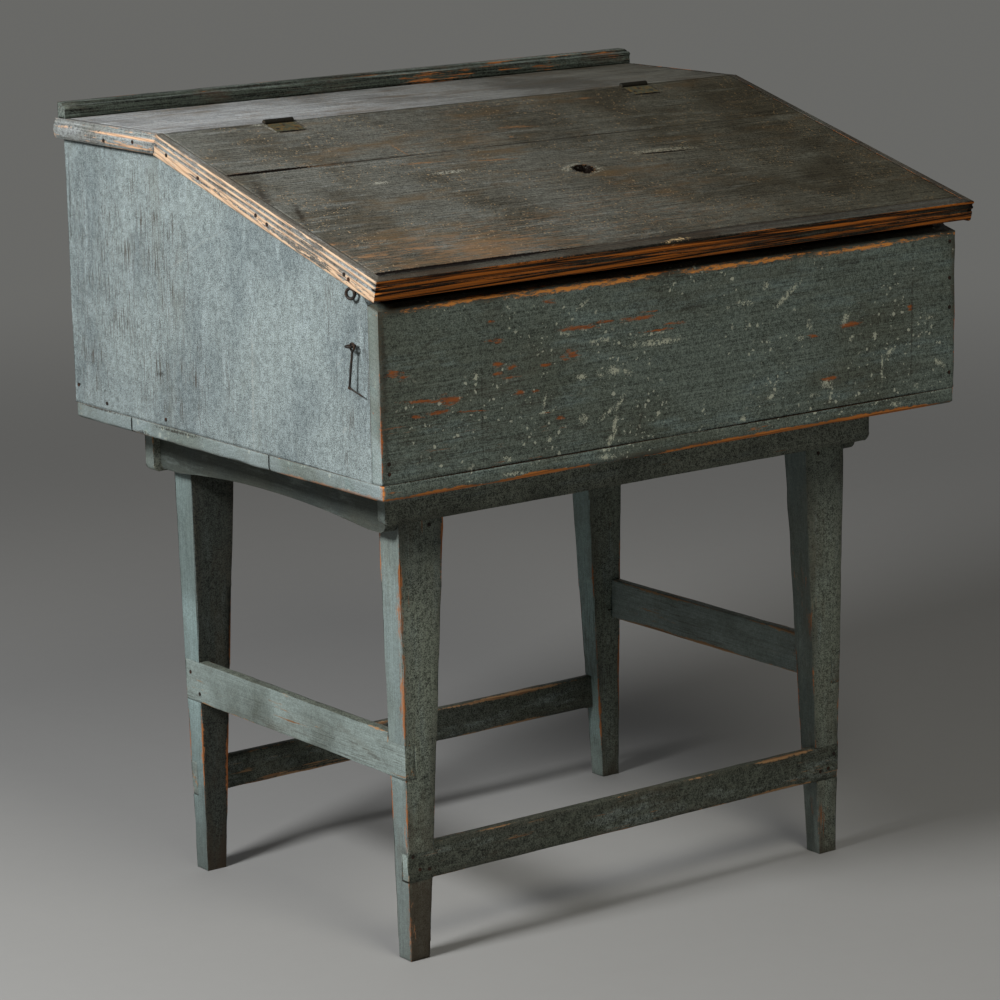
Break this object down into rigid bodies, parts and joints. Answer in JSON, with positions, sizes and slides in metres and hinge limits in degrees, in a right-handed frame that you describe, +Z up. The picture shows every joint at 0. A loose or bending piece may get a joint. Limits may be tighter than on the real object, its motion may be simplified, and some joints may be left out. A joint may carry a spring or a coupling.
{
  "type": "slant lid desk on stand",
  "caption": "Slant-front writing desk: a board case with a hinged sloping lid, fixed top, gallery rail and hook latch, on an open stand of tapered legs and stretchers.",
  "frame": {"origin": "floor level, under the middle of the desk's width and depth", "axes": "+Z up from the floor; the front with the lid's free edge faces -Y; X runs along the width with the hook on the -X end"},
  "size_m": [0.9296, 0.7185, 1.0225],
  "materials": {
    "painted_wood": "old blue-green milk paint, dull and rubbed through at the edges",
    "dark_painted_wood": "dark worn paint with bare brown streaks along the grain",
    "worn_moulding_wood": "paint worn back to bare orange wood on the high places",
    "hinge_iron": "dark, painted over and rusted",
    "latch_iron": "black with brown rust",
    "nail_iron": "dark rusted nail heads"
  },
  "bodies": {
    "desk": {"leg_front_left": "painted_wood", "leg_front_right": "painted_wood", "leg_back_left": "painted_wood", "leg_back_right": "painted_wood", "stretcher_left": "painted_wood", "stretcher_right": "painted_wood", "stretcher_front": "painted_wood", "stretcher_back": "painted_wood", "stand_strip_front": "painted_wood", "stand_strip_back": "painted_wood", "stand_rail_left": "painted_wood", "stand_rail_right": "painted_wood", "stand_nails": "nail_iron", "bottom_board_front": "painted_wood", "bottom_board_middle": "painted_wood", "bottom_board_back": "painted_wood", "case_front": "painted_wood", "case_back": "painted_wood", "case_side_left": "painted_wood", "case_side_right": "painted_wood", "case_nails": "nail_iron", "fixed_top_board": "dark_painted_wood", "top_end_moulding_left": "worn_moulding_wood", "top_end_moulding_right": "worn_moulding_wood", "top_nails": "nail_iron", "gallery_rail": "painted_wood", "hinge_left_fixed_leaf": "hinge_iron", "hinge_right_fixed_leaf": "hinge_iron", "hinge_left_pin": "hinge_iron", "hinge_right_pin": "hinge_iron", "hinge_fixed_screws": "hinge_iron", "hook_screw_eye": "latch_iron"},
    "lid": {"lid_board_upper": "dark_painted_wood", "lid_board_lower": "dark_painted_wood", "lid_moulding_front": "worn_moulding_wood", "lid_moulding_left": "worn_moulding_wood", "lid_moulding_right": "worn_moulding_wood", "lid_nails": "nail_iron", "hinge_left_lid_leaf": "hinge_iron", "hinge_right_lid_leaf": "hinge_iron", "hinge_lid_screws": "hinge_iron", "lid_screw_eye": "latch_iron"},
    "hook": {"latch_hook": "latch_iron"}
  },
  "joints": [
    {"name": "lid_hinge", "type": "hinge", "parent": "desk", "child": "lid", "pos_m": [0, 0.10911, 1.00248], "axis": [-1, 0, 0], "range_deg": [0, 190]},
    {"name": "hook_swing", "type": "hinge", "parent": "desk", "child": "hook", "pos_m": [-0.458, -0.29811, 0.791], "axis": [1, 0, 0], "range_deg": [-135, 55]}
  ]
}
